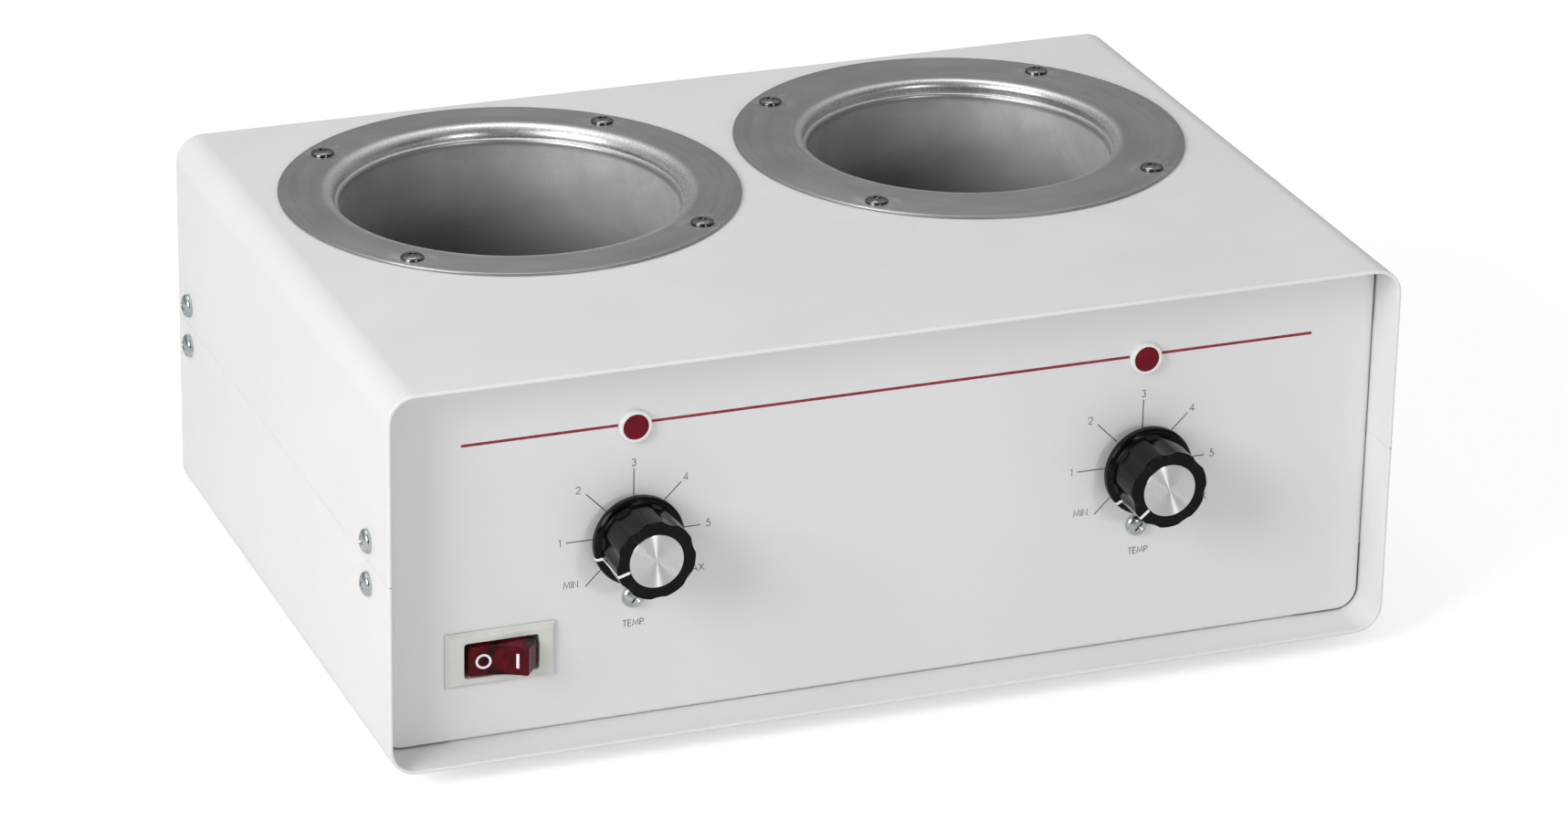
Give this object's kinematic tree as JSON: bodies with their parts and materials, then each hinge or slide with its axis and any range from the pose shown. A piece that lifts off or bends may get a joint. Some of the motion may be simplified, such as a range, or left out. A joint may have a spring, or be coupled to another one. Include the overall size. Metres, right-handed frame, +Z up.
{
  "type": "double wax warmer",
  "caption": "Countertop double wax warmer: white sheet steel case, riveted spun aluminium wells of unequal mouth, set-back panel with fluted knobs, pilot lights and lit rocker switch.",
  "frame": {"origin": "centre of the bounding box, on the surface that the feet stand on", "axes": "+X to the right seen from the front with the knobs, +Y to the back, +Z up"},
  "size_m": [0.4184, 0.2946, 0.1658],
  "materials": {
    "white_enamel": "white powder coat, semi-gloss with fine orange peel",
    "panel_enamel": "white powder coat, satin",
    "zinc_steel": "bright zinc plated steel",
    "foot_rubber": "matt black rubber",
    "spun_aluminium": "satin spun aluminium with concentric marks",
    "rivet_steel": "bright blind rivet",
    "band_steel": "heat-toned stainless steel",
    "mineral_felt": "needled mineral fibre",
    "copper": "drawn copper",
    "fuse_ceramic": "ceramic sleeve with wire leads",
    "phenolic_brown": "brown phenolic moulding",
    "brass_parts": "brass",
    "phenolic_black": "glossy black phenolic moulding",
    "inlay_aluminium": "spun aluminium inlay with radial sheen",
    "blackened_steel": "blackened steel",
    "bezel_plastic": "white nylon",
    "red_lens": "deep red clear plastic",
    "lamp_glass": "clear glass",
    "switch_ivory": "ivory nylon",
    "rocker_red": "dark red clear polycarbonate",
    "inlet_black": "black moulded plastic",
    "block_nylon": "natural nylon",
    "wire_brown": "brown insulation",
    "wire_blue": "blue insulation",
    "wire_white": "white heat-resistant insulation",
    "wire_green": "green and yellow insulation"
  },
  "bodies": {
    "case": {"top_cover": "white_enamel", "bottom_tray": "white_enamel", "front_panel": "panel_enamel", "rear_panel": "panel_enamel", "case_screws_left": "zinc_steel", "case_screws_right": "zinc_steel", "weld_nuts": "zinc_steel", "feet_front": "foot_rubber", "feet_rear": "foot_rubber", "foot_screws": "zinc_steel", "foot_nuts": "zinc_steel", "well_left": "spun_aluminium", "well_right": "spun_aluminium", "well_rivets_left": "rivet_steel", "well_rivets_right": "rivet_steel", "heater_band_left": "band_steel", "heater_band_right": "band_steel", "band_bolts": "zinc_steel", "band_nuts": "zinc_steel", "insulation_left": "mineral_felt", "insulation_right": "mineral_felt", "sensor_left": "copper", "sensor_right": "copper", "thermal_fuses": "fuse_ceramic", "retaining_clips": "zinc_steel", "thermostat_left": "phenolic_brown", "thermostat_right": "phenolic_brown", "thermostat_bracket_left": "zinc_steel", "thermostat_bracket_right": "zinc_steel", "bush_nuts": "brass_parts", "thermostat_screws": "zinc_steel", "pilot_bezel_left": "bezel_plastic", "pilot_bezel_right": "bezel_plastic", "pilot_lens_left": "red_lens", "pilot_lens_right": "red_lens", "pilot_lamps": "lamp_glass", "pilot_push_nuts": "zinc_steel", "switch_housing": "switch_ivory", "switch_terminals": "brass_parts", "inlet_housing": "inlet_black", "inlet_pins": "brass_parts", "inlet_screws": "zinc_steel", "inlet_nuts": "zinc_steel", "terminal_block": "block_nylon", "terminal_screws": "brass_parts", "earth_stud": "brass_parts", "wire_live": "wire_brown", "wire_neutral": "wire_blue", "wire_heater": "wire_white", "wire_earth": "wire_green"},
    "knob_left": {"knob_left": "phenolic_black", "knob_cap_left": "inlay_aluminium", "knob_grub_screw_left": "blackened_steel", "spindle_left": "zinc_steel"},
    "knob_right": {"knob_right": "phenolic_black", "knob_cap_right": "inlay_aluminium", "knob_grub_screw_right": "blackened_steel", "spindle_right": "zinc_steel"},
    "rocker": {"switch_rocker": "rocker_red"},
    "see_saw": {"switch_contact": "brass_parts"}
  },
  "joints": [
    {"name": "knob_left_turn", "type": "hinge", "parent": "case", "child": "knob_left", "pos_m": [-0.1031, -0.1197, 0.086], "axis": [0, 1, 0], "range_deg": [-28, 242]},
    {"name": "knob_right_turn", "type": "hinge", "parent": "case", "child": "knob_right", "pos_m": [0.1067, -0.1197, 0.086], "axis": [0, 1, 0], "range_deg": [-4, 266]},
    {"name": "rocker_tip", "type": "hinge", "parent": "case", "child": "rocker", "pos_m": [-0.1562, -0.1178, 0.0437], "axis": [0, 0, 1], "range_deg": [0, 33]},
    {"name": "see_saw_tip", "type": "hinge", "parent": "case", "child": "see_saw", "pos_m": [-0.1562, -0.1087, 0.0437], "axis": [0, 0, 1], "range_deg": [-16, 0]}
  ],
  "couplings": [
    {"joint": "see_saw_tip", "follows": "rocker_tip", "ratio": -0.4848}
  ]
}
